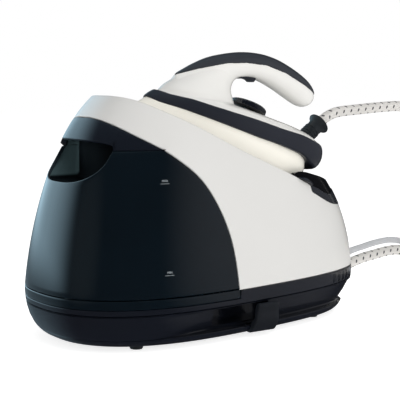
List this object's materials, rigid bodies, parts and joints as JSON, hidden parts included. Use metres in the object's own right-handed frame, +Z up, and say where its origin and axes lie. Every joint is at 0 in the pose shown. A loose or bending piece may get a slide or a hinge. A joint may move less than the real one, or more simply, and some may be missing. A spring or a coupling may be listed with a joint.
{
  "type": "steam generator iron",
  "caption": "Steam iron resting on a water-tank base station, joined to it by a braided steam hose, with a lift-off tank and a mains cord.",
  "frame": {"origin": "on the surface the station stands on, under the middle of its outline", "axes": "+X along the station from the water tank to the iron's heel and the cords, +Y to the side away from the cord clip, +Z up"},
  "size_m": [0.6701, 0.2456, 0.2852],
  "materials": {
    "navy_gloss": "gloss",
    "black_gloss": "high gloss",
    "navy_satin": "satin",
    "white_gloss": "gloss",
    "tank_smoke": "tinted, high gloss",
    "cream": "satin",
    "charcoal_satin": "satin",
    "black_matt": "matt",
    "steel": "brushed",
    "cast_aluminium": "cast",
    "brass": "satin",
    "board_green": "matt",
    "silicone": "satin",
    "rubber": "matt",
    "hose_braid": "woven, with dark flecks",
    "mains_grey": "satin",
    "plug_white": "satin",
    "lens_amber": "clear gloss"
  },
  "bodies": {
    "station": {"base_tray": "navy_gloss", "base_rim": "navy_gloss", "body_shell": "white_gloss", "bay_wall": "white_gloss", "rest_deck": "white_gloss", "heel_console": "navy_gloss", "control_panel": "black_gloss", "indicator_lens_1": "lens_amber", "indicator_lens_2": "lens_amber", "foot_1": "rubber", "foot_2": "rubber", "foot_3": "rubber", "foot_4": "rubber", "base_screw_1": "steel", "base_screw_2": "steel", "base_screw_3": "steel", "base_screw_4": "steel", "boiler": "steel", "steam_valve": "brass", "water_pump": "charcoal_satin", "control_board": "board_green", "tank_coupling": "charcoal_satin", "suction_tube": "silicone", "pressure_tube": "silicone", "steam_tube": "silicone", "hose_gland": "rubber", "mains_gland": "rubber", "clip_pin": "steel", "hose_drop": "hose_braid", "hose_return": "hose_braid", "hose_coil": "hose_braid", "mains_run": "mains_grey", "mains_coil": "mains_grey", "plug_body": "plug_white", "plug_pin_earth": "brass", "plug_pin_live": "brass", "plug_pin_neutral": "brass"},
    "iron": {"soleplate": "steel", "heater_plate": "cast_aluminium", "skirt": "cream", "trim_band": "charcoal_satin", "iron_shell": "white_gloss", "handle_grip": "charcoal_satin", "thermostat": "steel", "trigger_switch": "black_matt", "hose_relief": "rubber", "iron_steam_tube": "silicone", "hose_arch": "hose_braid"},
    "dial": {"steam_dial": "navy_satin"},
    "trigger": {"trigger": "charcoal_satin"},
    "tank": {"tank_shell": "tank_smoke", "tank_lid": "navy_satin", "tank_valve": "charcoal_satin"},
    "filler_cap": {"filler_cap": "charcoal_satin"},
    "power_button": {"power_button": "black_matt"},
    "eco_button": {"eco_button": "black_matt"},
    "cord_clip": {"cord_clip": "black_matt"}
  },
  "joints": [
    {"name": "iron_lift", "type": "slide", "parent": "station", "child": "iron", "axis": [0.4067, 0, 0.9135], "range_m": [0, 0.12]},
    {"name": "dial_turn", "type": "hinge", "parent": "iron", "child": "dial", "pos_m": [0.06137, 0, 0.22882], "axis": [0.4067, 0, 0.9135], "range_deg": [0, 270]},
    {"name": "trigger_press", "type": "slide", "parent": "iron", "child": "trigger", "axis": [0.4067, 0, 0.9135], "range_m": [0, 0.003], "stiffness_N_per_m": 400, "springref_m": -0.002},
    {"name": "tank_slide", "type": "slide", "parent": "station", "child": "tank", "axis": [-1, 0, 0], "range_m": [0, 0.15]},
    {"name": "filler_cap_turn", "type": "hinge", "parent": "tank", "child": "filler_cap", "pos_m": [-0.113, 0, 0.194], "axis": [0, 0, 1], "range_deg": [0, 90]},
    {"name": "power_button_press", "type": "slide", "parent": "station", "child": "power_button", "axis": [-0.8192, 0, -0.5736], "range_m": [0, 0.002], "stiffness_N_per_m": 500, "springref_m": -0.002},
    {"name": "eco_button_press", "type": "slide", "parent": "station", "child": "eco_button", "axis": [-0.8192, 0, -0.5736], "range_m": [0, 0.002], "stiffness_N_per_m": 500, "springref_m": -0.002},
    {"name": "cord_clip_swing", "type": "hinge", "parent": "station", "child": "cord_clip", "pos_m": [0.018, -0.0795, 0.0074], "axis": [1, 0, 0], "range_deg": [0, 50]}
  ]
}
